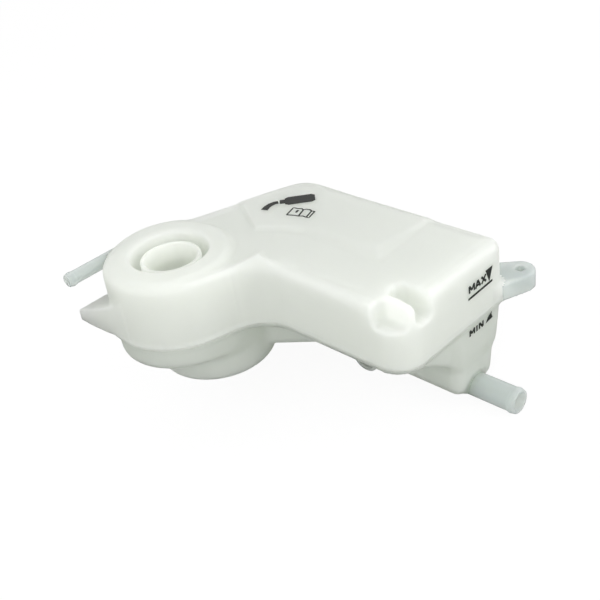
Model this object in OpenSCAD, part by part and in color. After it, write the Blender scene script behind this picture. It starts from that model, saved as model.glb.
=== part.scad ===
// Coolant expansion tank: two injection moulded polypropylene shells, hot plate welded at a
// level seam. All plan dimensions are taken from the axis of the filler neck and all heights
// from the weld seam; in_frame() then moves the tank so that the frame origin is the axis of
// the rear fixing hole at the seam.

/* [Upper body] */
// Distance from the neck axis to the right end wall
box_right = 190; // [160:1:215]
// Distance from the neck axis to the front wall of the box
box_front = 27.5; // [24:0.5:34]
// Distance from the neck axis to the back wall of the box
box_back = 144; // [136:1:165]
// Height of the box above the seam
box_top = 48; // [42:0.5:56]
// How far the filling plateau stands above the box
plateau_rise = 2.5; // [1:0.5:4]
// Right edge of the filling plateau
plateau_right = 134.5; // [120:0.5:150]
// Radius on the top edges of the box
top_round = 10; // [7:0.5:10.5]
// Draw taper of a side wall over its height
draft = 1; // [0.5:0.1:1.5]
// Wall thickness of both shells
wall = 3; // [2:0.1:3.6]
// Plan radius of the front right corner
front_corner = 21; // [14:0.5:26]
// Plan radius of the back right corner
back_corner = 16; // [12:0.5:22]
// Plan radius of the hollow corner between turret and box
inner_corner = 20; // [14:0.5:22]

/* [Turret and filler neck] */
// Outer radius of the round turret that carries the neck
turret_r = 50.5; // [47:0.5:54]
// Height of the turret above the seam
turret_top = 52.5; // [49:0.5:58]
// Radius on the top edge of the turret
turret_round = 8; // [5:0.5:11]
// Bore radius of the filler neck
neck_bore = 19.5; // [16:0.5:20]
// Wall thickness of the neck tube
neck_wall = 2; // [1.6:0.1:2.4]
// Radius of the well around the neck tube, which takes the skirt of the cap
well_r = 29; // [27.5:0.5:32]
// Depth of the well below the turret top
well_depth = 20.5; // [12:0.5:24]
// How far the neck rim lies below the turret top
rim_drop = 2.5; // [0.5:0.5:4]
// Height of the lower end of the neck tube above the seam
neck_foot = 8; // [2:0.5:16]

/* [Weld flange] */
// Height of the weld flange on each shell
flange_h = 3; // [2:0.5:4]
// How far the upper flange stands out from the wall
flange_out = 1.5; // [0.5:0.5:2]
// How far the lower flange stands back from the upper one
flange_back = 1; // [0.5:0.5:1.5]

/* [Corner pockets] */
// Distance from the right end wall to the closed end of each pocket
pocket_len = 24; // [20:1:27]
// Clear width of the rear pocket
pocket_w = 16; // [13:0.5:18]
// Height of the pocket floors above the seam
pocket_floor = 30; // [26:0.5:36]
// Distance from the front wall to the middle of the rib between the pockets
pocket_rib_y = 15; // [13:0.5:17]
// Thickness of the rib between the pockets
pocket_rib = 5; // [4:0.5:6]
// Radius in the corners of the pockets
pocket_round = 6; // [4:0.5:7]

/* [Lower body] */
// How far the lower walls stand back from the upper ones
lower_inset = 1; // [1:0.5:3]
// Depth of the round tray under the turret
tray_depth = 20; // [14:0.5:24]
// Radius of the round belly
belly_r = 45.5; // [40:0.5:46]
// Depth of the round belly below the seam
belly_depth = 45; // [36:0.5:50]
// Depth of the floor between belly and sump
floor_depth = 33; // [28:0.5:36]
// Front wall of the sump
sump_front = 89; // [86:0.5:94]
// Depth of the front edge of the sump
sump_depth = 59.5; // [54:0.5:62]
// Depth of the drain trough in the sump
trough_depth = 71; // [68:0.5:76]
// Left end of the sump
sump_left = 96; // [88:1:104]
// Edge radius of the belly and the sump
lower_round = 6; // [4:0.5:8]

/* [Hose spigots] */
// Outer radius of the outlet spigot
outlet_r = 9.25; // [8.5:0.25:10]
// Wall thickness of the outlet spigot
outlet_wall = 2.25; // [1.75:0.25:2.75]
// Distance from the neck axis to the open end of the outlet
outlet_end = 222; // [212:1:235]
// Outer radius of the vent spigot
vent_r = 5; // [4.5:0.25:5.5]
// Wall thickness of the vent spigot
vent_wall = 2; // [1.25:0.25:2.25]
// Distance from the neck axis to the open end of the vent
vent_end = 61; // [50:1:70]
// Height of the hose bead on each spigot
bead_h = 0.6; // [0.3:0.1:1]

/* [Level sensor] */
// Outer radius of the plug socket
socket_r = 12; // [10:0.5:13]
// Wall thickness of the plug socket
socket_wall = 2; // [1.5:0.1:2.5]
// How far the socket reaches forward of the sump wall
socket_len = 20; // [14:0.5:24]
// Radius of each contact pin
pin_r = 1.5; // [1:0.1:2]
// Distance between the two contact pins
pin_gap = 8; // [6:0.5:10]
// How far a contact pin reaches forward of the sump wall
pin_out = 12; // [8:0.5:14]
// How far a contact pin reaches into the sump
pin_in = 20; // [10:0.5:24]

/* [Fixing lugs] */
// Thickness of the rear lug
lug_h = 14; // [9:0.5:16]
// Radius of the screw hole in the rear lug
hole_r = 3.5; // [3:0.25:4.5]
// Plan radius of the tip of the rear lug
lug_tip = 11; // [10:0.5:13]
// How far the screw hole lies behind the back wall
hole_behind = 16; // [14:0.5:20]
// How far the front left ear stands out from the turret
ear_out = 8.5; // [5:0.5:12]
// Thickness of the ear at its free edge
ear_h = 9; // [7:0.5:11]
// Height at which the ear runs into the turret
ear_root = 22; // [16:0.5:28]

/* [Hidden] */
$fn = 96;
hull_fn = 32;
over = 1;
far = 400;
// A cutter that would only touch a wall is this much larger, so that it crosses the wall
bite = 0.05;
// The straight sides of an outline lie this much inside its posts, for the same reason
nip = 0.01;

milky = [0.90, 0.92, 0.86];
milky_dark = [0.84, 0.87, 0.80];
steel = [0.72, 0.73, 0.74];

// Frame origin: the screw hole of the rear lug
hole_x = box_right;
hole_y = box_back + hole_behind;

// A post is [x, y, radius]. A closed ring of posts, in anticlockwise order, gives an outline.
post_r = 12;
plateau_corner = 11;
back_left_corner = 24;
left_post = [-4, 80, post_r];
back_left_post = [23, box_back - back_left_corner, back_left_corner];
back_right_post = [box_right - back_corner, box_back - back_corner, back_corner];
front_right_post = [box_right - front_corner, box_front + front_corner, front_corner];
box_posts = [[66, box_front + post_r, post_r], front_right_post, back_right_post, back_left_post, left_post];

flank_near = [34.5, -15.5, post_r];
flank_far = [47.5, 20.5, post_r];
bridge_posts = [flank_near, flank_far, [60, 90, post_r], left_post, [-18.5, 38, post_r]];

plateau_posts = [
    [30, 72, post_r],
    [plateau_right - plateau_corner, 88, plateau_corner],
    [plateau_right - plateau_corner, box_back - plateau_corner, plateau_corner],
    back_left_post,
    left_post
];

// Outward normal of the straight side that joins post p to post q
function side_normal(p, q) =
    let (d = [q.x - p.x, q.y - p.y], l = norm(d), k = (p.z - q.z) / l)
    [d.y, -d.x] / l * sqrt(1 - k * k) + d / l * k;

// Centre of the hollow corner: it touches the turret flank and the front wall
flank_n = side_normal(flank_near, flank_far);
flank_dir = [-flank_n.y, flank_n.x];
corner_y = box_front - inner_corner;
corner_base = [flank_far.x, flank_far.y] + (flank_far.z + inner_corner) * flank_n;
corner_c = corner_base + flank_dir * (corner_y - corner_base.y) / flank_dir.y;
corner_touch = corner_c - inner_corner * flank_n;

// Lower body: centre of the belly, posts of the floor between belly and sump, and the sump,
// whose ends lean in by sump_slope over their height
belly_c = [5, 21.5];
mid_posts = [[52, 48, 10], [112, 91.5, 10], [112, box_back - 14, 9], [23, box_back - 26, 20], [-2, 80, 9.5]];
sump_back = box_back - 7;
sump_right = box_right - 1.5;
sump_slope = 4;
trough_y = 110;
outlet_y = trough_y;
outlet_z = -trough_depth + wall - 1 + outlet_r;
vent_x = -turret_r + 4.25;
// The vent axis lies just below the line where the turret shoulder begins to round over
vent_z = turret_top - turret_round - 1.3;
socket_x = 116;
socket_z = -39;
socket_mouth = sump_front - socket_len;

ear_left = -turret_r - ear_out;
ear_front = -turret_r - 1;

// Moves the tank from the neck axis to the frame origin
module in_frame() {
    translate([-hole_x, -hole_y, 0]) children();
}

// Plan outline round a ring of posts, grown outwards by grow
module ring_plan(posts, grow) {
    n = len(posts);
    for (p = posts) translate([p.x, p.y]) circle(p.z + grow);
    polygon([for (i = [0 : n - 1])
        let (p = posts[i], q = posts[(i + 1) % n], s = side_normal(p, q))
        each [[p.x, p.y] + (p.z + grow - nip) * s, [q.x, q.y] + (q.z + grow - nip) * s]]);
}

// Plan outline of the whole tank at the seam
module seam_plan(grow) {
    circle(turret_r + grow);
    ring_plan(box_posts, grow);
    ring_plan(bridge_posts, grow);
    difference() {
        corner_block(grow);
        translate(corner_c) circle(inner_corner - grow + bite);
    }
}

// Filling of the hollow corner before it is cut round. It moves outwards with the walls.
module corner_block(grow) {
    polygon([
        corner_touch + (grow - over) * flank_n,
        [corner_c.x, box_front - grow + over],
        [corner_c.x, box_front + post_r],
        [corner_touch.x - post_r, box_front + post_r],
        corner_touch - [post_r, 0]
    ]);
}

// Half section of a round body with a drafted wall and a rounded top edge
module post_section(r, z0, z1, edge) {
    wall_r = r - draft;
    polygon(concat(
        [[0, z0], [r, z0]],
        [for (a = [0 : 15 : 90]) [wall_r - edge + edge * cos(a), z1 - edge + edge * sin(a)]],
        [[0, z1]]
    ));
}

// Body with rounded top edges round a ring of posts
module ring_body(posts, inset, z1, edge) {
    hull() {
        for (p = posts)
            translate([p.x, p.y, 0])
                rotate_extrude($fn = hull_fn)
                    post_section(p.z - inset, -over, z1 - inset, edge - inset);
    }
}

// Solid form of the upper body; inset by the wall it gives the inside
module upper_form(inset) {
    edge = turret_round - inset;
    rotate_extrude() post_section(turret_r - inset, -over, turret_top - inset, edge);
    ring_body(box_posts, inset, box_top, top_round);
    ring_body(bridge_posts, inset, box_top, top_round);
    ring_body(plateau_posts, inset, box_top + plateau_rise, top_round);
    difference() {
        translate([0, 0, -over]) linear_extrude(box_top - inset + over) corner_block(-inset);
        translate(corner_c) rotate_extrude() corner_bell(inset);
    }
}

// Half section of the cutter that rounds the hollow corner: it flares at the top as the walls
// round over
module corner_bell(inset) {
    r = inner_corner + inset + bite;
    edge = top_round - inset;
    z1 = box_top - inset;
    polygon(concat(
        [[0, -2 * over], [r, -2 * over]],
        [for (a = [0 : 15 : 90]) [r + draft + edge - edge * cos(a), z1 - edge + edge * sin(a)]],
        [[r + draft + edge, z1 + over], [0, z1 + over]]
    ));
}

// Outline posts of a pocket: row 0 runs out through the front wall, row 1 lies behind the rib,
// and both run out through the right end wall
function pocket_posts(row) =
    let (
        r = pocket_round,
        rib = box_front + pocket_rib_y,
        y0 = row == 0 ? box_front - 2 * front_corner : rib + pocket_rib / 2,
        y1 = row == 0 ? rib - pocket_rib / 2 : y0 + pocket_w,
        x0 = box_right - pocket_len,
        x1 = box_right + 2 * front_corner
    )
    [[x0 + r, y0 + r, r], [x1, y0 + r, r], [x1, y1 - r, r], [x0 + r, y1 - r, r]];

// One pocket in the front right corner, grown by grow for its walls
module pocket(row, grow) {
    translate([0, 0, pocket_floor - grow])
        linear_extrude(box_top)
            ring_plan(pocket_posts(row), grow);
}

// Space between neck tube and well wall, and the drop of the neck rim, as one turned cut
module well_cut() {
    tube_r = neck_bore + neck_wall;
    well_floor = turret_top - well_depth;
    rotate_extrude()
        polygon([
            [tube_r, well_floor],
            [well_r, well_floor],
            [well_r, turret_top + over],
            [0, turret_top + over],
            [0, turret_top - rim_drop],
            [tube_r, turret_top - rim_drop]
        ]);
}

// What stays standing inside the upper shell: the neck tube and the walls of the well
module neck_body() {
    translate([0, 0, neck_foot]) cylinder(r = neck_bore + neck_wall, h = far);
    translate([0, 0, turret_top - well_depth - wall]) cylinder(r = well_r + wall, h = far);
}

// Hose spigot along Z with a bead at its open end
module spigot(r, length, back) {
    bead_w = 2.5;
    translate([0, 0, -back]) cylinder(r = r, h = length + back);
    translate([0, 0, length - 2 * bead_w])
        rotate_extrude()
            polygon([
                [0, 0],
                [r, 0],
                [r + bead_h, bead_w],
                [r + bead_h, 1.6 * bead_w],
                [r - bead_h / 2, 2 * bead_w],
                [0, 2 * bead_w]
            ]);
}

// Outer form of the front left ear: its top rises in a ramp to the turret
module ear_form(inset) {
    intersection() {
        translate([0, 0, -inset])
            linear_extrude(ear_root)
                polygon([
                    [ear_left + inset, ear_front + inset],
                    [0, ear_front + inset],
                    [0, 0],
                    [-turret_r, 0],
                    [ear_left + inset, -turret_r / 2]
                ]);
        translate([0, far / 2, 0])
            rotate([90, 0, 0])
                linear_extrude(far)
                    polygon([
                        [ear_left + inset, -over * sign(inset)],
                        [ear_left + inset, ear_h - inset],
                        [-turret_r / 2, ear_root - inset],
                        [0, ear_root - inset],
                        [0, -over * sign(inset)]
                    ]);
    }
}

module ear() {
    difference() {
        ear_form(0);
        difference() {
            ear_form(wall);
            translate([0, 0, -2 * over]) cylinder(r = turret_r - over, h = far);
        }
    }
}

// Rear fixing lug: a hollow plate with a boss round its screw hole
module rear_lug() {
    lug_wall = wall - 0.5;
    lug_posts = [[box_right - 4, box_back - 12, 4], [hole_x, hole_y, lug_tip], [box_right - 38, box_back - 6, 4]];
    difference() {
        linear_extrude(lug_h) ring_plan(lug_posts, 0);
        difference() {
            translate([0, 0, -over]) linear_extrude(lug_h - wall + over) ring_plan(lug_posts, -lug_wall);
            translate([hole_x, hole_y, -2 * over]) cylinder(r = hole_r + wall, h = far);
            translate([0, 0, -2 * over]) linear_extrude(far) ring_plan(box_posts, -over);
        }
    }
}

module upper_shell() {
    color(milky)
    in_frame()
    difference() {
        union() {
            difference() {
                upper_form(0);
                for (row = [0, 1]) pocket(row, 0);
            }
            linear_extrude(flange_h) seam_plan(flange_out);
            ear();
            rear_lug();
            vent_outer();
        }
        difference() {
            upper_form(wall);
            for (row = [0, 1]) pocket(row, wall);
            neck_body();
        }
        well_cut();
        translate([0, 0, -over]) cylinder(r = neck_bore, h = far);
        vent_bore();
        translate([hole_x, hole_y, -over]) cylinder(r = hole_r, h = far);
        translate([-far, -far, -far]) cube([2 * far, 2 * far, far]);
    }
}

// The vent spigot points to the front, level with the turret's shoulder
module vent_outer() {
    root_y = -turret_r / 3;
    translate([vent_x, root_y, vent_z]) {
        rotate([90, 0, 0]) spigot(vent_r, vent_end + root_y, 0);
        rotate([-90, 0, 0]) cylinder(r1 = vent_r, r2 = vent_r / 4, h = -root_y);
    }
}

module vent_bore() {
    translate([vent_x, -vent_end - over, vent_z])
        rotate([-90, 0, 0])
            cylinder(r = vent_r - vent_wall, h = vent_end - 4 + over);
}

// Cross section of the underside of the box, seen along X: it slopes down from the front wall
// to the sump. The inside stands off a little more than the wall, because the floor leans.
module underside_plan(inset) {
    t = inset * 1.15;
    polygon([
        [box_front + lower_inset + t, over],
        [box_front + lower_inset + t, -flange_h - over + t],
        [54 + t / 3, -9 + t],
        [69 + t / 3, -19 + t],
        [sump_front, -floor_depth + t],
        [box_back - lower_inset - t, -floor_depth + t],
        [box_back - lower_inset - t, over]
    ]);
}

// Body with rounded bottom edges round a ring of posts
module ring_basin(posts, inset, z0, edge) {
    mirror([0, 0, 1]) ring_body(posts, inset, z0, edge);
}

module sump_form(inset) {
    r = lower_round - inset;
    x0 = sump_left + lower_round;
    x1 = sump_right - lower_round;
    y0 = sump_front + lower_round;
    y1 = sump_back - lower_round;
    hull() {
        for (x = [x0 + sump_slope, x1 - sump_slope]) {
            translate([x, y0, -sump_depth + lower_round]) sphere(r, $fn = 24);
            translate([x, trough_y, -trough_depth + lower_round]) sphere(r, $fn = 24);
            translate([x, y1 - sump_slope, -sump_depth + lower_round]) sphere(r, $fn = 24);
        }
        for (x = [x0, x1], y = [y0, y1])
            translate([x, y, 0]) sphere(r, $fn = 24);
    }
}

// Solid form of the lower body; inset by the wall it gives the inside
module lower_form(inset) {
    mirror([0, 0, 1])
        rotate_extrude()
            post_section(turret_r - lower_inset - inset, -over, tray_depth - inset, lower_round - inset);
    translate([belly_c.x, belly_c.y, 0])
        mirror([0, 0, 1])
            rotate_extrude()
                post_section(belly_r - inset, -over, belly_depth - inset, lower_round - inset);
    intersection() {
        translate([0, 0, -far / 2]) linear_extrude(far) seam_plan(-lower_inset - inset);
        translate([-turret_r, 0, 0])
            rotate([90, 0, 90])
                linear_extrude(far)
                    underside_plan(inset);
    }
    ring_basin(mid_posts, inset, floor_depth, lower_round);
    sump_form(inset);
}

module lower_shell() {
    color(milky_dark)
    in_frame()
    difference() {
        union() {
            lower_form(0);
            translate([0, 0, -flange_h]) linear_extrude(flange_h + over) seam_plan(flange_out - flange_back);
            translate([sump_right - sump_slope - 3, outlet_y, outlet_z])
                rotate([0, 90, 0]) spigot(outlet_r, outlet_end - sump_right + sump_slope + 3, wall);
            socket_body();
        }
        difference() {
            lower_form(wall);
            socket_body();
        }
        translate([socket_x, socket_mouth - over, socket_z])
            rotate([-90, 0, 0]) cylinder(r = socket_r - socket_wall, h = socket_len - wall + over);
        translate([sump_right - 2 * lower_round - sump_slope, outlet_y, outlet_z])
            rotate([0, 90, 0]) cylinder(r = outlet_r - outlet_wall, h = far);
        for (s = [-1, 1]) sensor_pin_form(s);
        translate([-far, -far, 0]) cube([2 * far, 2 * far, far]);
    }
}

// Round body of the plug socket; its closed end stands a little inside the sump
module socket_body() {
    translate([socket_x, socket_mouth, socket_z])
        rotate([-90, 0, 0])
            cylinder(r = socket_r, h = socket_len + wall + over);
}

// One contact pin of the level sensor, on the given side of the socket axis
module sensor_pin_form(side) {
    translate([socket_x + side * pin_gap / 2, sump_front - pin_out, socket_z])
        rotate([-90, 0, 0])
            cylinder(r = pin_r, h = pin_out + pin_in);
}

module sensor_pin_left() {
    color(steel) in_frame() sensor_pin_form(-1);
}

module sensor_pin_right() {
    color(steel) in_frame() sensor_pin_form(1);
}

upper_shell();
lower_shell();
sensor_pin_left();
sensor_pin_right();
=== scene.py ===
# %% [markdown]
# The coolant expansion tank of a car, as a lesson in cells. The real tank is two milky
# polypropylene mouldings, welded together at a level seam. The frame holds the same tank as
# exact solids. Here each moulding gets the soft, flowing skin of the real one, and a plastic
# that lets light through its walls.

# %% Load the frame
import math

import bmesh
import bpy
import numpy as np
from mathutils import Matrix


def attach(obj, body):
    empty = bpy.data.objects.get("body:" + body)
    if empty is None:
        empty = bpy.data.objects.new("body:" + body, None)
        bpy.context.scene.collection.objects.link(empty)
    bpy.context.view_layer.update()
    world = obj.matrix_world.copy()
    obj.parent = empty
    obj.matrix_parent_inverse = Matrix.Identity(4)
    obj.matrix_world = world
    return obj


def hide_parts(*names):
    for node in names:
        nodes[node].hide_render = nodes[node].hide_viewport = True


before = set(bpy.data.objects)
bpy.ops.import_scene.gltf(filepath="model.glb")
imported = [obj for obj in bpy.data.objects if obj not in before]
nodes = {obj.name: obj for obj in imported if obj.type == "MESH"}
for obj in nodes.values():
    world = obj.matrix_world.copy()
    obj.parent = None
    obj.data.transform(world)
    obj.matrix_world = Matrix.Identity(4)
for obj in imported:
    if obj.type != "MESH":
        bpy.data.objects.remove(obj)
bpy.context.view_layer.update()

import openvdb
from mathutils import Matrix, Vector

scene = bpy.context.scene
print("frame nodes:", sorted(nodes))

# %% [markdown]
# A tank is easiest to describe from the middle of its filler neck, in millimetres, with height
# zero on the weld seam. The frame starts at the rear screw hole and counts in metres, so one
# function goes from the tank's numbers to the frame's.

# %% Tank coordinates
MM = 0.001
HOLE = np.array([190.0, 160.0, 0.0])


def to_frame(points):
    """Tank millimetres to frame metres."""
    return (np.asarray(points, float) - HOLE) * MM


print("neck axis in the frame:", to_frame([0, 0, 0]))

# %% [markdown]
# A moulding has no sharp inside corner, because molten plastic can't fill one and a sharp
# corner would crack. One could round the edges of a mesh by hand, but here the radius changes
# along the edge. Distance fields suit such a shape. A field gives the distance from any
# point to the surface, negative inside, and two fields are joined or cut with a round fillet by
# a short formula. A wall of even thickness is one more formula, just as the mould makes it.

# %% Joining and cutting fields
def joined(a, b, r):
    """Both shapes, with a fillet of radius r in the hollow between them."""
    return np.maximum(r, np.minimum(a, b)) - np.hypot(np.maximum(r - a, 0), np.maximum(r - b, 0))


def crossed(a, b, r):
    """What lies in both shapes, with the edge rounded to radius r."""
    return np.minimum(-r, np.maximum(a, b)) + np.hypot(np.maximum(r + a, 0), np.maximum(r + b, 0))


def cut(a, b, r):
    """The first shape less the second, with a rounded rim."""
    return crossed(a, -b, r)


def merged(a, b, k):
    """Both shapes, with only a slight softening where their walls nearly agree."""
    h = np.maximum(k - np.abs(a - b), 0) / k
    return np.minimum(a, b) - h * h * k / 4


print("a fillet of 4 between two walls 1 mm away:", joined(1.0, 1.0, 4.0))


# %% Easing and hollowing
def ease(v, start, end):
    """0 before start, 1 after end, and a smooth rise between."""
    t = np.clip((v - start) / (end - start), 0, 1)
    return t * t * (3 - 2 * t)


def walled(outside, thickness):
    """A wall of even thickness just inside a surface."""
    return np.abs(outside + thickness / 2) - thickness / 2


print("field of a 3 mm wall at its outside, middle and inside:",
      walled(np.array([0.0, -1.5, -3.0]), 3.0))

# %% [markdown]
# Seen from above, the tank is a belt drawn tight round a few round posts, as in the part's
# source, whose posts stand within 1 mm of these. The distance to such a belt is the largest of
# the distances to its straight sides, and round a corner it is the distance to the post.

# %% Distance to a belt round posts
def belt(x, y, posts):
    """Distance in plan to the outline round posts (x, y, radius), given anticlockwise."""
    normals = []
    for (ax, ay, ar), (bx, by, br) in zip(posts, posts[1:] + posts[:1]):
        length = math.hypot(bx - ax, by - ay)
        ux, uy, k = (bx - ax) / length, (by - ay) / length, (ar - br) / length
        c = math.sqrt(1 - k * k)
        normals.append((uy * c + ux * k, -ux * c + uy * k))
    d = np.full(np.broadcast(x, y).shape, -1e9)
    for (px, py, r), (nx, ny) in zip(posts, normals):
        d = np.maximum(d, (x - px) * nx + (y - py) * ny - r)
    for i, (px, py, r) in enumerate(posts):
        before, after = normals[i - 1], normals[i]
        vx, vy = x - px, y - py
        facing = (before[0] * vy - before[1] * vx > 0) & (vx * after[1] - vy * after[0] > 0)
        d = np.where(facing, np.maximum(d, np.hypot(vx, vy) - r), d)
    return d


print("10 mm outside a belt round two posts:", belt(30.0, 0.0, [(-10, 0, 10), (10, 0, 10)]))

# %% [markdown]
# The outline is made of three bodies. The turret is a circle round the neck. The box, with its
# five posts, holds most of the coolant. The bridge joins them, and a hollow corner with a wide
# radius fills the angle at the front, because a sharp notch there would weaken the wall.

# %% The plan of the tank
BOX_RIGHT, BOX_FRONT, BOX_BACK, BOX_TOP = 190.0, 28.3, 144.0, 48.0
TURRET_R, TURRET_TOP = 50.9, 52.5
POST_R, FRONT_CORNER, BACK_CORNER, BACK_LEFT_CORNER = 12, 21, 11.5, 24
BOX = [
    (66, BOX_FRONT + POST_R, POST_R),
    (BOX_RIGHT - FRONT_CORNER, BOX_FRONT + FRONT_CORNER, FRONT_CORNER),
    (BOX_RIGHT - BACK_CORNER, BOX_BACK - BACK_CORNER, BACK_CORNER),
    (23, BOX_BACK - BACK_LEFT_CORNER, BACK_LEFT_CORNER),
    (-4, 80, POST_R),
]
BRIDGE = [
    (34.5, -15.5, POST_R), (47.5, 20.5, POST_R), (60, 90, POST_R), (-4, 80, 11),
    (-18.5, 38, POST_R),
]
BRIDGE_SOFT, BOX_SOFT = 3.0, 1.0
FLANK_ACROSS, FLANK_UP, FLANK_AWAY = 0.9406, -0.3396, 49.71  # direction and distance of its side
CORNER_R = 20.0
CORNER_X, CORNER_Y, CORNER_REACH = 60.0, 45.0, 36.0  # the hollow corner ends at this circle


def plan(x, y):
    """Distance to the outline of the whole tank at the seam."""
    turret = np.hypot(x, y) - TURRET_R
    flank = FLANK_ACROSS * x + FLANK_UP * y - FLANK_AWAY
    corner = np.maximum(
        joined(flank, BOX_FRONT - y, CORNER_R),
        np.hypot(x - CORNER_X, y - CORNER_Y) - CORNER_REACH)
    body = np.minimum(belt(x, y, BOX), corner)
    return merged(merged(turret, belt(x, y, BRIDGE), BRIDGE_SOFT), body, BOX_SOFT)


print("from the middle of the box to its outline:", plan(110.0, 90.0))

# %% [markdown]
# The top isn't level. The turret is the highest, a gentle step leads down to the box, and the
# filling plateau with the signs stands a little proud of it. The plateau's front edge is crisp
# on the left and fades out to the right, so its slope gets longer there.

# %% The deck
STEP_START, STEP_END, STEP_EDGE = 41, 49, 9
PLATEAU_RISE = 2.5
PLATEAU = [(131, 77, 0.5), (131, 200, 0.5), (20, 200, 0.5), (20, 78, 0.5)]
PLATEAU_TIP = [(28, 61, 2), (62, 79, 2), (60, 200, 2), (-62, 200, 2), (-62, 112, 2)]
CRISP_SLOPE, FADED_SLOPE = 5, 9


def deck(x, y):
    """Height of the top: the turret, the step down to the box, and the filling plateau."""
    r = np.hypot(x, y)
    box = np.minimum(belt(x, y, BOX), belt(x, y, BRIDGE))
    step = ease(r, STEP_START, STEP_END) * ease(-box, 0, STEP_EDGE)
    plateau = np.minimum(belt(x, y, PLATEAU), belt(x, y, PLATEAU_TIP))
    reach = CRISP_SLOPE + FADED_SLOPE * ease(x, 40, 80) * ease(-y, -125, -95)
    top = BOX_TOP + PLATEAU_RISE * ease(-plateau / reach, -0.4, 0.6)
    return TURRET_TOP + (top - TURRET_TOP) * step


print("deck heights at neck, box and plateau:", deck(0.0, 0.0), deck(160.0, 90.0), deck(60.0, 110.0))

# %% [markdown]
# The upper moulding has walls that lean in by the draft, so that it leaves its mould, and a
# rounded edge all round the deck. That edge is tight along the left side and wide round the box.
# Two pockets sit in the front right corner and are open to the side, so their posts reach past
# the wall. A well takes the skirt of the cap.

# %% The upper moulding before it is hollowed
WALL = 3.0
DRAFT = 1.0
EDGE_R, EDGE_WIDER = 8, 4.5
LEFT_TIGHTER, LEFT_TIGHTER_FAR = 2.5, 4.0
POCKET_FLOOR, POCKET_FOOT, POCKET_RIM = 30.0, 5.0, 2.2
POCKETS = [
    [(170.5, 0, 6), (230, 0, 6), (230, 34, 6), (170.5, 34, 6)],
    [(169.5, 52, 6.5), (230, 52, 6.5), (230, 54.5, 6.5), (169.5, 54.5, 6.5)],
]
WELL_R, WELL_FLOOR, WELL_FOOT, WELL_RIM = 29.0, 32.0, 1.0, 2.6


def top_edge(x, y):
    """Radius on the top edge, eased from one stretch of the plan to the next."""
    left = ease(24 - x, 0, 30) * ease(y, -15, 20)
    away = ease(np.hypot(x, y), 48, 75)
    back = ease(x, 20, 60) * ease(y, 100, 130)
    return EDGE_R + EDGE_WIDER * away - left * (LEFT_TIGHTER + LEFT_TIGHTER_FAR * away) + back


def upper_outside(x, y, z):
    """The upper moulding as a solid lump, with its pockets and its well."""
    lump = crossed(plan(x, y) + DRAFT * z / BOX_TOP, z - deck(x, y), top_edge(x, y))
    for posts in POCKETS:
        pocket = crossed(belt(x, y, posts), POCKET_FLOOR - z, POCKET_FOOT)
        lump = cut(lump, pocket, POCKET_RIM)
    well = crossed(np.hypot(x, y) - WELL_R, WELL_FLOOR - z, WELL_FOOT)
    return cut(lump, well, WELL_RIM)


print("top edge radius at the turret, the left side and the box:",
      top_edge(0.0, -50.0), top_edge(-10.0, 80.0), top_edge(160.0, 40.0))

# %% [markdown]
# The ear at the front left is a thin shell, open below, whose roof climbs towards the turret.
# Its front plate drifts back as it goes right, so that it ends inside the turret's wall and
# leaves no step. The lug at the back is a shell too, with a boss round the screw hole.

# %% The ear and the lug
EAR_LEFT, EAR_FRONT, EAR_H, EAR_SLOPE = -59.0, -53.0, 9.0, 0.385
EAR_DRIFT, EAR_INTO_WALL = 2.6, 2
EAR_CORNER, EAR_BACK_UP, EAR_BACK_ACROSS = (-59, -27), 0.93, 0.31
EAR_TOP_ROUND, EAR_BACK_ROUND = 1.6, 2.0
LUG = [(186, 132, 4), (190, 160, 11), (152, 138, 4)]
LUG_H, LUG_ROUND, BOSS_LOWER, HOLE_R = 14.0, 2.0, 1, 3.5


def ear(x, y, z):
    """The front left ear, up to the turret's wall."""
    front = EAR_FRONT + EAR_DRIFT * ease(x, -45, -3)
    roof = z - EAR_H - EAR_SLOPE * (x - EAR_LEFT)
    lump = crossed(np.maximum(EAR_LEFT - x, front - y), roof, EAR_TOP_ROUND)
    back = (y - EAR_CORNER[1]) * EAR_BACK_UP - (x - EAR_CORNER[0]) * EAR_BACK_ACROSS
    shell = walled(crossed(lump, back, EAR_BACK_ROUND), WALL)
    return np.maximum(np.maximum(shell, TURRET_R - EAR_INTO_WALL - np.hypot(x, y)), x)


def from_hole(x, y):
    """Distance in plan from the axis of the screw hole."""
    return np.hypot(x - HOLE[0], y - HOLE[1])


def lug(x, y, z):
    """The rear lug, up to the wall of the box."""
    lump = crossed(belt(x, y, LUG), z - LUG_H, LUG_ROUND)
    boss = np.maximum(from_hole(x, y) - HOLE_R - WALL, z - LUG_H + BOSS_LOWER)
    return np.maximum(np.minimum(walled(lump, WALL), boss), -belt(x, y, BOX) - WALL / 2)


print("ear height at its tip and at the turret:",
      EAR_H, EAR_H + EAR_SLOPE * (-20 - EAR_LEFT))

# %% [markdown]
# A spigot is turned as a piece of its own further down. The skin only needs its root: a short
# length of the pipe's wall, so that a fillet can grow round it, and a hole behind it for the
# coolant. The root is a little thinner than the pipe, and hides inside it.

# %% The upper moulding
SEAM_ROUND = 0.25
RIM_H, RIM_ROUND, RIM_JOIN = 3.0, 0.7, 1.2
LIP_TURRET, LIP_LESS_AT_BOX = 1.5, 0.7
ARM_JOIN, ROOT_JOIN, ROOT_INSET = 3.0, 2.5, 0.25
NECK_BORE = 19.5
NECK_HOLE_WIDER = 1
VENT_X, VENT_Z, VENT_R = -46.25, 43.2, 5.0
VENT_ROOT_FROM, VENT_HOLE_TO, VENT_HOLE_NARROWER = -26, 5, 1


def root(away, radius, along, start, end):
    """The first stretch of a spigot's outer wall, between two places along its axis."""
    return np.maximum(away - radius + ROOT_INSET, np.maximum(start - along, along - end))


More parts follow.
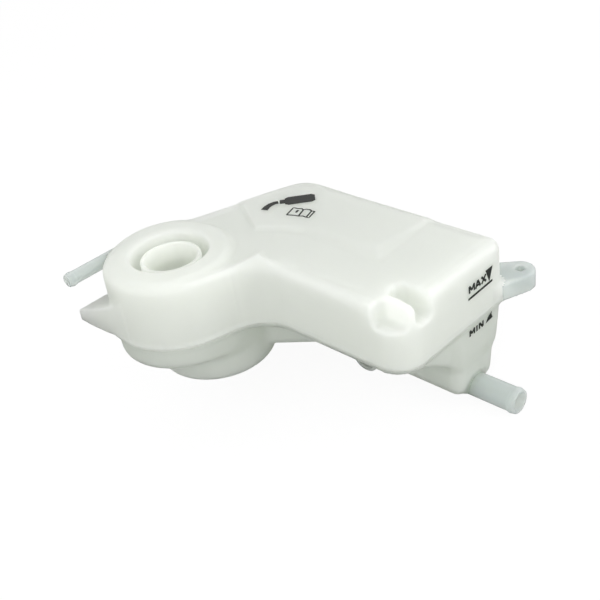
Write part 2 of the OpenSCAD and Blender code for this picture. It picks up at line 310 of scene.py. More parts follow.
def upper(x, y, z):
    """The finished upper moulding."""
    outline, r = plan(x, y), np.hypot(x, y)
    shell = walled(upper_outside(x, y, z), WALL)
    lip = LIP_TURRET - LIP_LESS_AT_BOX * ease(x, 30, 80)
    rim = np.abs(outline + WALL / 2 - lip / 2) - WALL / 2 - lip / 2
    shell = joined(shell, crossed(rim, z - RIM_H, RIM_ROUND), RIM_JOIN)
    shell = joined(joined(shell, ear(x, y, z), ARM_JOIN), lug(x, y, z), ARM_JOIN)
    from_vent = np.hypot(x - VENT_X, z - VENT_Z)
    vent_root = np.maximum(root(from_vent, VENT_R, y, VENT_ROOT_FROM, 0), TURRET_R - WALL - r)
    shell = joined(shell, vent_root, ROOT_JOIN)
    shell = np.maximum(shell, NECK_BORE + NECK_HOLE_WIDER - r)
    vent_hole = np.maximum(from_vent - VENT_R + VENT_HOLE_NARROWER, y + VENT_HOLE_TO)
    shell = np.maximum(shell, -vent_hole)
    shell = np.maximum(shell, HOLE_R - from_hole(x, y))
    return crossed(shell, -z, SEAM_ROUND)


print("inside the wall of the deck, the field is negative:", upper(160.0, 90.0, 46.5))

# %% [markdown]
# The lower moulding carries the tray under the turret, the round belly, the sloping floor and
# the sump, with the outlet at the bottom of the sump. The sump's floor is a shallow V, so that
# the last coolant runs to the outlet.

# %% The sump
SUMP_LEFT, SUMP_RIGHT = 96.0, BOX_RIGHT - 1.4
SUMP_FRONT, SUMP_BACK = 89.0, BOX_BACK - 7
SUMP_DEPTH, TROUGH_DEPTH, TROUGH_Y = 60.0, 71.0, 110.0
SUMP_LEAN = 5.5 / TROUGH_DEPTH
TROUGH_ROUND, SUMP_CORNER, SUMP_FOOT = 6.0, 8.0, 7.0


def sump(x, y, z):
    """The sump as a lump: leaning ends, upright front, and a V-shaped floor."""
    lean = SUMP_LEAN * z
    ends = np.maximum(SUMP_LEFT - lean - x, x - SUMP_RIGHT - lean)
    sides = np.maximum(SUMP_FRONT - y, y - SUMP_BACK - 0.5 * lean)
    near = (TROUGH_DEPTH - SUMP_DEPTH) / (TROUGH_Y - SUMP_FRONT)
    far = (TROUGH_DEPTH - SUMP_DEPTH) / (SUMP_BACK - TROUGH_Y)
    floor_near = (-z - SUMP_DEPTH - near * (y - SUMP_FRONT)) / math.hypot(1, near)
    floor_far = (-z - SUMP_DEPTH - far * (SUMP_BACK - y)) / math.hypot(1, far)
    floor = crossed(floor_near, floor_far, TROUGH_ROUND)
    return crossed(crossed(ends, sides, SUMP_CORNER), floor, SUMP_FOOT)


print("the sump is", SUMP_RIGHT - SUMP_LEFT, "mm wide at the seam and", TROUGH_DEPTH, "mm deep")

# %% The lower moulding before it is hollowed
LOWER_INSET = 1.0
TRAY_R, TRAY_DEPTH, TRAY_LEAN = 51.4, 19.0, 0.03
BELLY_X, BELLY_Y, BELLY_R, BELLY_DEPTH, BELLY_FOOT = 5.5, 21.5, 45.5, 45.0, 5.5
MIDDLE = [
    (52, 48, 11), (112, 91.5, 11), (112, BOX_BACK - 14, 9), (23, BOX_BACK - 26, 20), (-2, 80, 9.5)]
MIDDLE_DEPTH = 33.6
FLOOR_Y = [27.5, 40, 54, 69, 89]
FLOOR_Z = [1.0, -5.0, -9.0, -19.0, -33.0]
FLOOR_COSINE = 0.85  # height above the sloping floor, to distance from it
WEDGE_INSET, END_LEAN = 1, 0.15
FLOOR_FOOT, WEDGE_FOOT, LUMP_JOIN, TRAY_SOFT = 6.0, 3.0, 9.0, 2.0
SIDE_OUT, SIDE_LESS_AT_BOX, SIDE_DRAFT, SIDE_ROUND = 0.8, 1.1, 0.02, 1.5


def lower_outside(x, y, z):
    """The lower moulding as a solid lump."""
    outline = plan(x, y) + LOWER_INSET
    tray = crossed(np.hypot(x, y) - TRAY_R - z * TRAY_LEAN, -z - TRAY_DEPTH, FLOOR_FOOT)
    slope = np.interp(y, FLOOR_Y, FLOOR_Z)
    lean = END_LEAN * np.maximum(-z, 0) * ease(x, 120, 165)
    wedge = crossed(outline + WEDGE_INSET + lean, (slope - z) * FLOOR_COSINE, WEDGE_FOOT)
    belly = crossed(
        np.hypot(x - BELLY_X, y - BELLY_Y) - BELLY_R, -z - BELLY_DEPTH, BELLY_FOOT)
    middle = crossed(belt(x, y, MIDDLE), -z - MIDDLE_DEPTH, FLOOR_FOOT)
    lump = merged(tray, wedge, TRAY_SOFT)
    for more in (belly, middle, sump(x, y, z)):
        lump = joined(lump, more, LUMP_JOIN)
    side = outline - SIDE_OUT + SIDE_LESS_AT_BOX * ease(x, 30, 80) - z * SIDE_DRAFT
    return crossed(lump, side, SIDE_ROUND)


print("floor heights at the belly and the sump:", FLOOR_Z[0], FLOOR_Z[-1])

# %% [markdown]
# The finished lower moulding gets the same rim along the seam as the upper one, and the roots of
# the outlet and of the level sensor's socket. Both halves end in a barely rounded edge, and
# where those edges meet, a fine dark line shows the weld.

# %% The lower moulding
SEAM_RIM = 3.5
SOCKET_X, SOCKET_Z, SOCKET_R = 116.0, -39.0, 12.0
SOCKET_ROOT_OUT, SOCKET_HOLE_NARROWER = 8, 1
OUTLET_Z, OUTLET_R = -59.75, 9.25
OUTLET_ROOT_FROM, OUTLET_ROOT_TO = 178, 190
OUTLET_HOLE_FROM, OUTLET_HOLE_NARROWER = 165, 1.5


def lower(x, y, z):
    """The finished lower moulding."""
    shell = walled(lower_outside(x, y, z), WALL)
    rim = np.abs(plan(x, y) + SEAM_RIM / 2) - SEAM_RIM / 2
    shell = joined(shell, crossed(rim, -z - RIM_H, RIM_ROUND), RIM_JOIN)
    from_socket = np.hypot(x - SOCKET_X, z - SOCKET_Z)
    socket_root = root(
        from_socket, SOCKET_R, y, SUMP_FRONT - SOCKET_ROOT_OUT, SUMP_FRONT + WALL)
    shell = joined(shell, socket_root, ROOT_JOIN)
    socket_hole = np.maximum(from_socket - SOCKET_R + SOCKET_HOLE_NARROWER, y - SUMP_FRONT)
    shell = np.maximum(shell, -socket_hole)
    from_outlet = np.hypot(y - TROUGH_Y, z - OUTLET_Z)
    outlet_root = root(from_outlet, OUTLET_R, x, OUTLET_ROOT_FROM, OUTLET_ROOT_TO)
    shell = joined(shell, outlet_root, ROOT_JOIN)
    outlet_hole = np.maximum(
        from_outlet - OUTLET_R + OUTLET_HOLE_NARROWER, OUTLET_HOLE_FROM - x)
    shell = np.maximum(shell, -outlet_hole)
    return crossed(shell, z, SEAM_ROUND)


print("inside the belly's wall, the field is negative:", lower(5.5, -22.5, -30.0))

# %% [markdown]
# A field becomes a mesh in three steps. It is measured on a grid of points, the surface is
# drawn where it passes through zero, and each point of that surface is then moved exactly onto
# the field, along the direction in which the field grows. So even a fairly coarse mesh lies as
# true as a polished mould, and smooth shading does the rest.

# %% Direction and steepness of a field
def slope_of(field, p, h=0.05):
    """Unit direction in which the field grows, and how fast, at points p."""
    g = np.empty_like(p)
    for axis in range(3):
        up, down = p.copy(), p.copy()
        up[:, axis] += h
        down[:, axis] -= h
        g[:, axis] = field(*up.T) - field(*down.T)
    size = np.linalg.norm(g, axis=1, keepdims=True)
    return g / np.maximum(size, 1e-9), size[:, 0] / (2 * h)


print("on the deck the upper field grows upwards:",
      slope_of(upper, np.array([[160.0, 90.0, BOX_TOP]]))[0].round(2))


# %% Field to mesh
LEAST_STEEP = 0.3  # where a blend makes the field flat, a step is no longer than with this
MOST_STEP = 0.4  # of a cell


def moulded(name, field, low, high, cell):
    """Mesh of a field between two corners, both in tank millimetres."""
    axes = [np.arange(a, b + cell, cell) for a, b in zip(low, high)]
    x, y, z = np.meshgrid(*axes, indexing="ij", sparse=True)
    grid = openvdb.FloatGrid(3 * cell)
    grid.copyFromArray(field(x, y, z).astype(np.float32))
    points, triangles, quads = grid.convertToPolygons(0.0, 0.0)
    points = points.astype(float) * cell + np.array(low)
    for _ in range(3):
        direction, steepness = slope_of(field, points)
        step = field(*points.T) / np.maximum(steepness, LEAST_STEEP)
        points -= direction * np.clip(step, -MOST_STEP * cell, MOST_STEP * cell)[:, None]
    faces = [tuple(map(int, q)) for q in quads] + [tuple(map(int, t)) for t in triangles]
    mesh = bpy.data.meshes.new(name)
    mesh.from_pydata(to_frame(points).tolist(), [], faces)
    mesh.validate()
    mesh.shade_smooth()
    print(name, "points", len(points), "quads", len(quads), "triangles", len(triangles))
    return mesh


# %% [markdown]
# Each cell is 1.4 mm wide. The cells are as small as the limit of 200,000 triangles for a piece
# allows. Both grids reach a little past the seam, and are laid so that the seam falls halfway
# between two layers of their points, which keeps the rim's edge even.

# %% Mould both halves
CELL = 1.4
LAYERS_BELOW = math.ceil(75 / CELL)
UPPER_LOW, UPPER_HIGH = (-62, -57, -1.5 * CELL), (206, 176, 56)
LOWER_LOW, LOWER_HIGH = (-56, -57, (0.5 - LAYERS_BELOW) * CELL), (193, 148, 2 * CELL)
upper_mesh = moulded("upper_skin", upper, UPPER_LOW, UPPER_HIGH, CELL)
lower_mesh = moulded("lower_skin", lower, LOWER_LOW, LOWER_HIGH, CELL)

# %% [markdown]
# The neck tube, the two hose spigots and the socket of the level sensor are round and thin.
# Each is turned from its half section, as on a lathe, which keeps its rim crisp, and then joins
# the skin that it grows out of.

# %% Turning a half section
def turned(section, start, along, steps=96):
    """Points and faces of a closed half section (radius, distance) turned about an axis."""
    along = np.array(along, float)
    across = np.array([0.0, 0.0, 1.0]) if abs(along[2]) < 0.5 else np.array([1.0, 0.0, 0.0])
    other = np.cross(along, across)
    points, faces, count = [], [], len(section)
    for i in range(steps):
        a = 2 * math.pi * i / steps
        spoke = across * math.cos(a) + other * math.sin(a)
        points += [np.array(start) + along * h + spoke * r for r, h in section]
    for i in range(steps):
        j = (i + 1) % steps
        for k in range(count):
            m = (k + 1) % count
            faces.append((i * count + k, i * count + m, j * count + m, j * count + k))
    return np.array(points), faces


def arc(cx, cy, r, start, end, steps=5):
    """Points of a small arc in a half section, angles in degrees."""
    angles = [math.radians(start + (end - start) * i / steps) for i in range(steps + 1)]
    return [(cx + r * math.cos(a), cy + r * math.sin(a)) for a in angles]


print("a quarter arc of radius 1 has", len(arc(0, 0, 1, 0, 90)), "points")


# %% Half section of a hose spigot
BEAD = 0.6
NOSE_R, MOUTH_R = 0.9, 0.4


def spigot_section(r, bore, length):
    """A pipe with a bead that holds the hose: a rounded back and a tapered nose."""
    nose = length - NOSE_R
    return [
        (bore, 0), (r, 0), (r, length - 6.5), (r + 0.15, length - 5.9),
        (r + 0.75 * BEAD, length - 5.0), (r + BEAD, length - 4.2), (r + BEAD, length - 3.6),
        (r + 0.5 * BEAD, length - 2.2), (r, nose - 0.6),
    ] + arc(r - NOSE_R, nose, NOSE_R, 0, 90) + arc(bore + MOUTH_R, length - MOUTH_R, MOUTH_R, 90, 180, 3)


print("points round a spigot's half section:", len(spigot_section(5.0, 3.0, 50.0)))

# %% Turn the round parts
NECK_WALL, NECK_FOOT, NECK_RIM, NECK_ROUND = 3.0, 8.0, 47.6, 1.5
VENT_END, VENT_ROOT, VENT_BORE = -61.0, -8.0, 3.0
OUTLET_END, OUTLET_ROOT, OUTLET_BORE = 222.0, 180.0, 7.0
SOCKET_LENGTH, SOCKET_WALL, SOCKET_ROUND = 20.0, 2.0, 0.6

neck_section = [(NECK_BORE, NECK_FOOT), (NECK_BORE + NECK_WALL, NECK_FOOT)]
neck_section += arc(NECK_BORE + NECK_WALL - NECK_ROUND, NECK_RIM - NECK_ROUND, NECK_ROUND, 0, 90)
neck_section += arc(NECK_BORE + NECK_ROUND, NECK_RIM - NECK_ROUND, NECK_ROUND, 90, 180)
socket_section = [(SOCKET_R - SOCKET_WALL, 0), (SOCKET_R, 0)]
socket_section += arc(SOCKET_R - SOCKET_ROUND, SOCKET_LENGTH - SOCKET_ROUND, SOCKET_ROUND, 0, 90)
socket_section += [(SOCKET_R - SOCKET_WALL, SOCKET_LENGTH)]

turned_parts = {
    "neck": turned(neck_section, (0, 0, 0), (0, 0, 1), 128),
    "vent": turned(spigot_section(VENT_R, VENT_BORE, VENT_ROOT - VENT_END),
                   (VENT_X, VENT_ROOT, VENT_Z), (0, -1, 0), 64),
    "outlet": turned(spigot_section(OUTLET_R, OUTLET_BORE, OUTLET_END - OUTLET_ROOT),
                     (OUTLET_ROOT, TROUGH_Y, OUTLET_Z), (1, 0, 0)),
    "socket": turned(socket_section, (SOCKET_X, SUMP_FRONT, SOCKET_Z), (0, -1, 0)),
}
for part, (points, faces) in turned_parts.items():
    print(part, "faces", len(faces))

# %% [markdown]
# The lug and the spigots are thin and full of light on both sides, so they look like clearer
# plastic than the walls of the chamber. Their faces take a second material slot. On the upper
# skin, the lug is what lies well outside the outline, on the right.

# %% Join the turned parts to the skins
CLEARER = 1
CLEARER_PARTS = ("vent", "outlet")
LUG_OUT, LUG_FROM_X = 2.5, 150
CREASE = math.radians(32)


def with_turned(skin, *parts):
    """Adds turned parts to a skin's mesh, with a crease where two of their faces turn sharply."""
    whole = bmesh.new()
    whole.from_mesh(skin)
    for part in parts:
        points, faces = turned_parts[part]
        corners = [whole.verts.new(p) for p in to_frame(points)]
        made = [whole.faces.new([corners[i] for i in face]) for face in faces]
        bmesh.ops.recalc_face_normals(whole, faces=made)
        for face in made:
            face.smooth = True
            face.material_index = CLEARER if part in CLEARER_PARTS else 0
            for edge in face.edges:
                if len(edge.link_faces) == 2 and edge.calc_face_angle() > CREASE:
                    edge.smooth = False
    whole.to_mesh(skin)
    whole.free()


centres = np.empty(3 * len(upper_mesh.polygons), np.float32)
upper_mesh.polygons.foreach_get("center", centres)
x, y, z = (centres.reshape(-1, 3) / MM + HOLE).T
on_lug = (plan(x, y) > LUG_OUT) & (x > LUG_FROM_X)
upper_mesh.polygons.foreach_set("material_index", CLEARER * on_lug.astype(np.int32))
with_turned(upper_mesh, "neck", "vent")
with_turned(lower_mesh, "outlet", "socket")
print("faces of clearer plastic on the lug:", int(on_lug.sum()))


# %% Put both skins in the scene
def put(name, mesh):
    """A mesh as an object in the scene."""
    piece = bpy.data.objects.new(name, mesh)
    scene.collection.objects.link(piece)
    return piece


upper_skin = put("upper_skin", upper_mesh)
lower_skin = put("lower_skin", lower_mesh)
for piece in (upper_skin, lower_skin):
    print(piece.name, "triangles", sum(len(f.vertices) - 2 for f in piece.data.polygons))

# %% [markdown]
# The end wall carries a hot-stamped level scale, and the deck two small signs for filling. A
# picture wrapped round the tank would blur and would need a flat layout of the skin. So each
# mark is drawn flat with strokes of even width, laid against the wall, and then moved onto its
# surface point by point, and the ink follows the moulding.

# %% Drawing with strokes
def stroke(points, width, step=1.5):
    """A strip of quads along a line of flat points; returns corners and faces."""
    line = []
    for a, b in zip(points, points[1:]):
        a, b = np.array(a, float), np.array(b, float)
        count = max(1, math.ceil(np.linalg.norm(b - a) / step))
        line += [a + (b - a) * i / count for i in range(count)]
    line.append(np.array(points[-1], float))
    line = np.array(line)
    along = np.gradient(line, axis=0)
    along /= np.linalg.norm(along, axis=1, keepdims=True)
    side = np.stack([-along[:, 1], along[:, 0]], axis=1)
    half = np.broadcast_to(width, len(line))[:, None] / 2
    corners = np.concatenate([line - side * half, line + side * half])
    n = len(line)
    return corners, [(i, i + 1, n + i + 1, n + i) for i in range(n - 1)]


def triangle(corners):
    """A filled triangle as four small ones, so that it can bend with the wall."""
    a, b, c = (np.array(p, float) for p in corners)
    return np.array([a, b, c, (a + b) / 2, (b + c) / 2, (c + a) / 2]), [
        (0, 3, 5), (3, 1, 4), (5, 4, 2), (3, 4, 5)]


print("quads in a stroke 6 mm long:", len(stroke([(0, 0), (6, 0)], 1.0)[1]))

# %% Plain capitals
# Each letter has its width and its strokes, in a box one unit high.
LETTERS = {
    "M": (0.86, [[(0, 0), (0, 1)], [(0, 1), (0.43, 0.3)],
                 [(0.43, 0.3), (0.86, 1)], [(0.86, 1), (0.86, 0)]]),
    "A": (0.84, [[(0, 0), (0.42, 1)], [(0.42, 1), (0.84, 0)], [(0.17, 0.32), (0.67, 0.32)]]),
    "X": (0.8, [[(0, 0), (0.8, 1)], [(0, 1), (0.8, 0)]]),
    "I": (0.0, [[(0, 0), (0, 1)]]),
    "N": (0.72, [[(0, 0), (0, 1)], [(0, 1), (0.72, 0)], [(0.72, 0), (0.72, 1)]]),
}
STRETCH = 1.17


def lettered(word, left, foot, height, gap, width):
    """Strokes of a word, from its lower left corner."""
    made = []
    for letter in word:
        wide, lines = LETTERS[letter]
        for line in lines:
            places = [(left + STRETCH * u * height, foot + v * height) for u, v in line]
            made.append(stroke(places, width))
        left += STRETCH * wide * height + gap
    return made


print("strokes in the upper level mark:", len(lettered("MAX", 0, 0, 5.5, 1.5, 1.8)))


# %% Ink on the wall
INK_LIFT = 0.07


def onto(field, points):
    """Points moved onto a field's surface, and lifted a little off it."""
    points = points.copy()
    for _ in range(6):
        direction, steepness = slope_of(field, points)
        points -= direction * (field(*points.T) / np.maximum(steepness, LEAST_STEEP))[:, None]
    return points + slope_of(field, points)[0] * INK_LIFT


def printed(shapes, place, field):
    """Corners and faces of flat shapes, placed in the tank and moved onto a field."""
    corners, faces = [], []
    for flat, quads in shapes:
        start = len(corners)
        corners += [place(u, v) for u, v in flat]
        faces += [tuple(start + i for i in q) for q in quads]
    return onto(field, np.array(corners, float)), faces


print("ink stands", INK_LIFT, "mm off the wall")

# %% [markdown]
# The level marks lie on the end wall, so their flat places are the tank's y and height. The
# signs lie on the deck, and theirs are x and y: a bottle that pours, and an open book. A sign's
# broad parts are single strokes whose width changes along the line.

# %% Level marks
max_mark = lettered("MAX", 100.3, 25.3, 5.5, 1.5, 1.8)
max_mark.append(stroke([(98.5, 21.3), (126.7, 22.1)], 1.8))
max_mark.append(triangle([(119.2, 33.2), (127.6, 33.4), (123.0, 22.6)]))
min_mark = lettered("MIN", 100.4, -10.7, 5.0, 3.0, 1.75)
min_mark.append(triangle([(118.9, -10.5), (127.4, -9.6), (124.6, -2.2)]))
print("level marks:", len(max_mark), "and", len(min_mark), "shapes")

# %% Filling signs
WHOLE = 99  # a step longer than any line, so that each line stays one quad
bottle_body = stroke(
    [(19.0, 100.6), (20.8, 102.5), (33.4, 115.8), (35.2, 117.7)], [9.4, 13.2, 13.2, 9.2], WHOLE)
bottle_neck = stroke([(16.2, 97.8), (19.2, 100.8)], 6.6, WHOLE)
poured = stroke(
    [(15.4, 97.0), (13.7, 94.6), (12.9, 91.2), (13.1, 87.2), (14.8, 82.3)],
    [4.6, 4.8, 5.1, 5.4, 5.8], WHOLE)
page_edge = [
    (35.8, 85.5), (32.4, 96.5), (36.4, 97.3), (39.2, 98.6), (41.6, 98.0), (43.0, 99.8),
    (45.8, 100.6), (48.6, 99.6), (51.0, 100.4), (54.0, 90.8), (50.6, 90.3), (48.0, 90.5),
    (45.2, 88.6), (42.4, 88.2), (39.2, 87.0), (35.8, 85.5)]
book = [
    stroke(page_edge, 1.3, 2.0),
    stroke([(41.6, 98.0), (45.1, 88.8)], 1.4),
    stroke([(48.6, 99.6), (51.4, 91.0)], 1.3),
    stroke([(38.3, 95.6), (39.6, 91.8)], 1.9),
]
signs = [bottle_body, bottle_neck, poured] + book
print("filling signs:", len(signs), "shapes")

# %% Print all marks as one piece
END_WALL_UPPER, END_WALL_LOWER, PLATEAU_Z = BOX_RIGHT + 0.5, BOX_RIGHT - 0.5, BOX_TOP + 3
marks = [
    printed(max_mark, lambda u, v: (END_WALL_UPPER, u, v), upper),
    printed(min_mark, lambda u, v: (END_WALL_LOWER, u, v), lower),
    printed(signs, lambda u, v: (u, v, PLATEAU_Z), upper),
]
ink_corners, ink_faces = [], []
for corners, faces in marks:
    start = len(ink_corners)
    ink_corners += corners.tolist()
    ink_faces += [tuple(start + i for i in face) for face in faces]
ink_mesh = bpy.data.meshes.new("printed_marks")
ink_mesh.from_pydata(to_frame(ink_corners).tolist(), [], ink_faces)
ink_marks = put("printed_marks", ink_mesh)
print("ink faces:", len(ink_mesh.polygons))

# %% [markdown]
# Every finish below is a small tree of shader nodes. Colours are written as the hex values a
# paint chart gives, and Blender wants linear light.

# %% Colour and node helpers
def linear(hex_colour):
    """'#rrggbb' to linear red, green, blue, alpha."""
    parts = [int(hex_colour[i:i + 2], 16) / 255 for i in (1, 3, 5)]
    return tuple(c / 12.92 if c <= 0.04045 else ((c + 0.055) / 1.055) ** 2.4 for c in parts) + (1.0,)


def add(tree, kind, place, inputs=None, **settings):
    """Adds a node, sets its properties, and links or sets its inputs."""
    node = tree.nodes.new(kind)
    node.location = place
    for key, value in settings.items():
        setattr(node, key, value)
    for key, value in (inputs or {}).items():
        if isinstance(value, bpy.types.NodeSocket):
            tree.links.new(value, node.inputs[key])
        else:
            node.inputs[key].default_value = value
    return node


def bare_material(name):
    """A new material and its empty tree."""
    mat = bpy.data.materials.new(name)
    mat.use_nodes = True
    mat.node_tree.nodes.clear()
    return mat, mat.node_tree


print("mid grey in linear light:", [round(c, 3) for c in linear("#808080")])

# %% [markdown]
# The plastic is unpigmented polypropylene, injection moulded. Light that meets the wall wanders
# in it and comes back nearby, some of it passes on into the tank, and a little goes nearly
# straight through, so one sees the shade of what is inside. Three shaders are mixed for that,
# under a soft satin shine. Seen edge-on, the way through the wall is longer, so less goes
# straight through. A mould's fine grain and the slight ripple of a thin wall are one bump.

# %% Natural polypropylene
GRAIN, RIPPLE, BUMP_HEIGHT = 1.11, 26.3, 1.2
RIPPLE_TO_GRAIN = 0.12
EDGE_ON_CLEAR = 0.2


def polypropylene(name, colour, inside, through, clear, depth, roughness):
    """Plastic that scatters light back, passes some on, and lets some straight through."""
    mat, tree = bare_material(name)
    where = add(tree, "ShaderNodeTexCoord", (-900, 0))
    grain = add(tree, "ShaderNodeTexNoise", (-700, -200), {
        "Vector": where.outputs["Object"], "Scale": 1 / (GRAIN * MM),
        "Detail": 2.0, "Roughness": 0.5})
    ripple = add(tree, "ShaderNodeTexNoise", (-700, -450), {
        "Vector": where.outputs["Object"], "Scale": 1 / (RIPPLE * MM),
        "Detail": 3.0, "Roughness": 0.6})
    both = add(tree, "ShaderNodeMath", (-500, -300), {
        0: grain.outputs["Fac"], 1: RIPPLE_TO_GRAIN, 2: ripple.outputs["Fac"]},
        operation="MULTIPLY_ADD")
    bump = add(tree, "ShaderNodeBump", (-320, -300), {
        "Strength": 0.10, "Distance": BUMP_HEIGHT * MM, "Height": both.outputs[0]})
    front = add(tree, "ShaderNodeBsdfPrincipled", (-100, 200), {
        "Base Color": linear(colour), "Roughness": roughness, "IOR": 1.49,
        "Subsurface Weight": 1.0, "Subsurface Radius": (1.0, 1.0, 0.96),
        "Subsurface Scale": depth * MM, "Normal": bump.outputs[0]})
    glow = add(tree, "ShaderNodeBsdfTranslucent", (-100, -250), {
        "Color": linear(inside), "Normal": bump.outputs[0]})
    wall = add(tree, "ShaderNodeMixShader", (180, 0), {
        0: through, 1: front.outputs[0], 2: glow.outputs[0]})
    gap = add(tree, "ShaderNodeBsdfTransparent", (-100, -420), {"Color": linear("#fbfcf6")})
    facing = add(tree, "ShaderNodeLayerWeight", (-100, 420), {"Blend": 0.4})
    share = add(tree, "ShaderNodeMapRange", (180, 300), {
        "Value": facing.outputs["Facing"], "To Min": clear, "To Max": EDGE_ON_CLEAR * clear})
    last = add(tree, "ShaderNodeMixShader", (380, 0), {
        0: share.outputs["Result"], 1: wall.outputs[0], 2: gap.outputs[0]})
    add(tree, "ShaderNodeOutputMaterial", (580, 0), {"Surface": last.outputs[0]})
    return mat


print("grain every", GRAIN, "mm, ripple every", RIPPLE, "mm")

# %% [markdown]
# The tank needs this plastic three times. The chamber's walls look milky and lit from within, so
# light scatters over 20 mm, which stands for the wall and for the bright space behind it. The
# lower moulding gets a greyer copy of it: painted shade for the underside, which gets less light.
# The lug and the spigots have no chamber behind them. Light scatters over 4 mm there, more of it
# goes straight through, and the surface shines.

# %% Milky plastic, a greyer copy with painted shade, and clearer plastic
milk = polypropylene(
    "milky_polypropylene", "#fdfdfc", "#fcfefa",
    through=0.45, clear=0.05, depth=20, roughness=0.42)
# A greyer copy of the milky plastic: painted shade for the lower moulding.
painted_shade_milk = polypropylene(
    "painted_shade_polypropylene", "#f1f4f0", "#f1f4ef",
    through=0.45, clear=0.05, depth=20, roughness=0.42)
thin_milk = polypropylene(
    "clearer_polypropylene", "#dfe5e6", "#e4eaeb",
    through=0.40, clear=0.50, depth=4, roughness=0.12)
for piece, wall in ((upper_skin, milk), (lower_skin, painted_shade_milk)):
    piece.data.materials.append(wall)
    piece.data.materials.append(thin_milk)
    print(piece.name, "is made of", [slot.name for slot in piece.data.materials])

# %% [markdown]
# Hot-stamped ink is black, a little matt, and lies flat on the plastic. The two contact pins of
# the level sensor are drawn steel wire, which shines softly. One plain shader does for each.

# %% Black ink and pin steel
def plain(name, inputs):
    """A material of one Principled shader."""
    mat, tree = bare_material(name)
    shader = add(tree, "ShaderNodeBsdfPrincipled", (0, 0), inputs)
    add(tree, "ShaderNodeOutputMaterial", (300, 0), {"Surface": shader.outputs[0]})
    return mat


ink = plain("black_ink", {"Base Color": linear("#1c1e1b"), "Roughness": 0.55})
steel = plain("pin_steel", {"Base Color": linear("#b9babb"), "Metallic": 1.0, "Roughness": 0.3})
ink_mesh.materials.append(ink)
for pin in ("sensor_pin_left", "sensor_pin_right"):
    for slot in nodes[pin].material_slots:
        slot.material = steel
    print(pin, "slots of steel:", len(nodes[pin].material_slots))

# %% [markdown]
# The tank has no moving part, so all pieces ride on the frame's one body. Each skin stands for
# the exact solid of its moulding, and the pins are shown as the frame has them.

# %% Ride
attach(upper_skin, "root")
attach(lower_skin, "root")
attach(ink_marks, "root")
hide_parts("upper_shell")
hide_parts("lower_shell")
print("riding on root:", upper_skin.name, lower_skin.name, ink_marks.name)

# %% [markdown]
# The camera stands where the photograph's did. Its place and its three directions were fitted
# to the tank's right angles and circles, in tank coordinates. Its lens follows from the focal
# length in pixels, in a square picture of 600 pixels.

# %% Camera
LENS_PIXELS, PICTURE_PIXELS, SENSOR = 919, 600, 36
CAMERA_PLACE = [498.1, -320.5, 368.0]
VIEW_RIGHT = Vector((0.71517255, 0.68639842, -0.13185386))
VIEW_DOWN = Vector((0.29708594, -0.46928128, -0.83157383))
VIEW_AHEAD = Vector((-0.6326675, 0.55554684, -0.53953641))
cam_data = bpy.data.cameras.new("camera")
cam_data.sensor_width = SENSOR
cam_data.lens = LENS_PIXELS / PICTURE_PIXELS * SENSOR
cam_data.clip_start, cam_data.clip_end = 0.05, 50
camera = bpy.data.objects.new("camera", cam_data)
scene.collection.objects.link(camera)
turn = Matrix((VIEW_RIGHT, -VIEW_DOWN, -VIEW_AHEAD)).transposed()
camera.matrix_world = Matrix.Translation(to_frame(CAMERA_PLACE)) @ turn.to_4x4()
scene.camera = camera
print("lens of", round(cam_data.lens, 1), "mm")

# %% [markdown]
# The tank is shown as it lies in the photograph: on the belly and on the edge of the sump, so
# the floor leans against the tank's own level by the angle between those two.

# %% Floor
FLOOR_HALF = 3.0
FLOOR_LEAN = math.radians(13.0)
FLOOR_GAP = 0.4
floor_mesh = bpy.data.meshes.new("floor")
floor_mesh.from_pydata(
    [(-FLOOR_HALF, -FLOOR_HALF, 0), (FLOOR_HALF, -FLOOR_HALF, 0),
     (FLOOR_HALF, FLOOR_HALF, 0), (-FLOOR_HALF, FLOOR_HALF, 0)], [], [(0, 1, 2, 3)])
under_sump = Matrix.Translation(to_frame([0, TROUGH_Y, -TROUGH_DEPTH - FLOOR_GAP]))
floor_mesh.transform(under_sump @ Matrix.Rotation(FLOOR_LEAN, 4, "X"))
floor = put("floor", floor_mesh)
print("floor leans by", round(math.degrees(FLOOR_LEAN)), "degrees")

# %% [markdown]
# The camera sees white paper, nearly all of it plain white and a small share matt, which keeps
# a faint shadow. All other rays meet a dark grey, because the underside of the tank in the
# photograph is dark and gets little light back from below.

# %% White paper
PAPER_PLAIN_WHITE = 0.92
paper, tree = bare_material("white_paper")
seen = add(tree, "ShaderNodeLightPath", (-600, 200))
matt = add(tree, "ShaderNodeBsdfDiffuse", (-300, 100), {"Color": linear("#484a47")})
pale = add(tree, "ShaderNodeBsdfDiffuse", (-600, -50), {"Color": linear("#fcfcfc")})
white = add(tree, "ShaderNodeEmission", (-600, -200), {"Color": (1, 1, 1, 1), "Strength": 1.0})
paper_white = add(tree, "ShaderNodeMixShader", (-300, -100), {
    0: PAPER_PLAIN_WHITE, 1: pale.outputs[0], 2: white.outputs[0]})
by_ray = add(tree, "ShaderNodeMixShader", (0, 0), {
    0: seen.outputs["Is Camera Ray"], 1: matt.outputs[0], 2: paper_white.outputs[0]})
add(tree, "ShaderNodeOutputMaterial", (200, 0), {"Surface": by_ray.outputs[0]})
floor.data.materials.append(paper)
print("the floor is", paper.name)

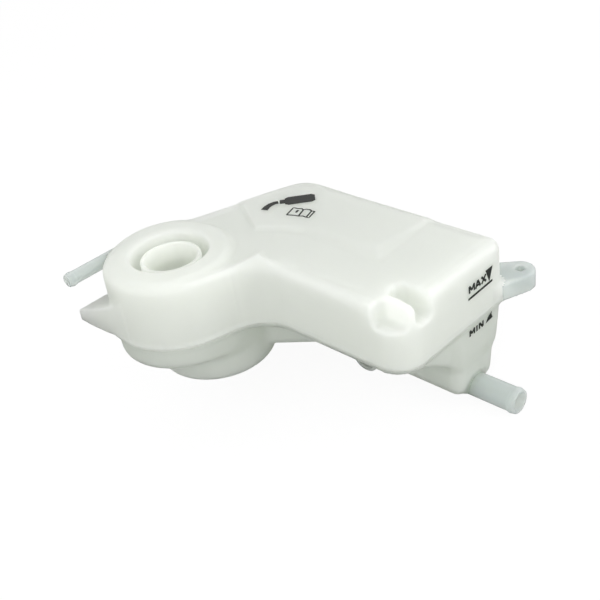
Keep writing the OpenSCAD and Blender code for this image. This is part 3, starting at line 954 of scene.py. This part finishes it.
# %% [markdown]
# The room is white too. It lights the tank from all sides a little below full strength, and
# the camera sees it at full strength, which is plain white.

# %% White room
ROOM_LIGHT, ROOM_SEEN = 0.85, 1.0
world = bpy.data.worlds.new("white_room")
scene.world = world
world.use_nodes = True
tree = world.node_tree
tree.nodes.clear()
seen = add(tree, "ShaderNodeLightPath", (-600, 200))
level = add(tree, "ShaderNodeMapRange", (-300, 200), {
    "Value": seen.outputs["Is Camera Ray"], "To Min": ROOM_LIGHT, "To Max": ROOM_SEEN})
room = add(tree, "ShaderNodeBackground", (0, 0), {
    "Color": (1, 1, 1, 1), "Strength": level.outputs["Result"]})
add(tree, "ShaderNodeOutputWorld", (200, 0), {"Surface": room.outputs[0]})
print("the room lights the tank at", ROOM_LIGHT)

# %% [markdown]
# Three large lamps shape the tank without a hard shadow. A large one stands in front and low,
# so that the walls aren't much darker than the deck, one lights the end wall from the right,
# and a weak one hangs above.

# %% Soft lamps
def soft_lamp(name, place, aim, size, watts):
    """A square lamp at a place, turned to a point, both in frame metres."""
    data = bpy.data.lights.new(name, "AREA")
    data.size, data.energy = size, watts
    lamp = bpy.data.objects.new(name, data)
    scene.collection.objects.link(lamp)
    lamp.location = place
    lamp.rotation_euler = (Vector(aim) - Vector(place)).to_track_quat("-Z", "Y").to_euler()
    print(name, watts, "W")


MIDDLE_OF_TANK = (-0.1, -0.09, 0.0)
soft_lamp("lamp_over", (0.1, 0.1, 1.0), MIDDLE_OF_TANK, 1.2, 1.0)
soft_lamp("lamp_front", (0.4, -1.2, 0.52), MIDDLE_OF_TANK, 2.2, 13.0)
soft_lamp("lamp_right", (1.1, 0.3, 0.4), MIDDLE_OF_TANK, 1.5, 16.0)

# %% [markdown]
# Light that has passed a milky wall bounces on inside the tank, again and again, before it
# comes out. With Blender's usual four bounces it would be lost there and the tank would look
# grey, so it may bounce ten times.

# %% Render settings
scene.view_settings.view_transform = "Standard"
scene.cycles.diffuse_bounces = 10
scene.cycles.max_bounces = 16
print("diffuse bounces:", scene.cycles.diffuse_bounces)
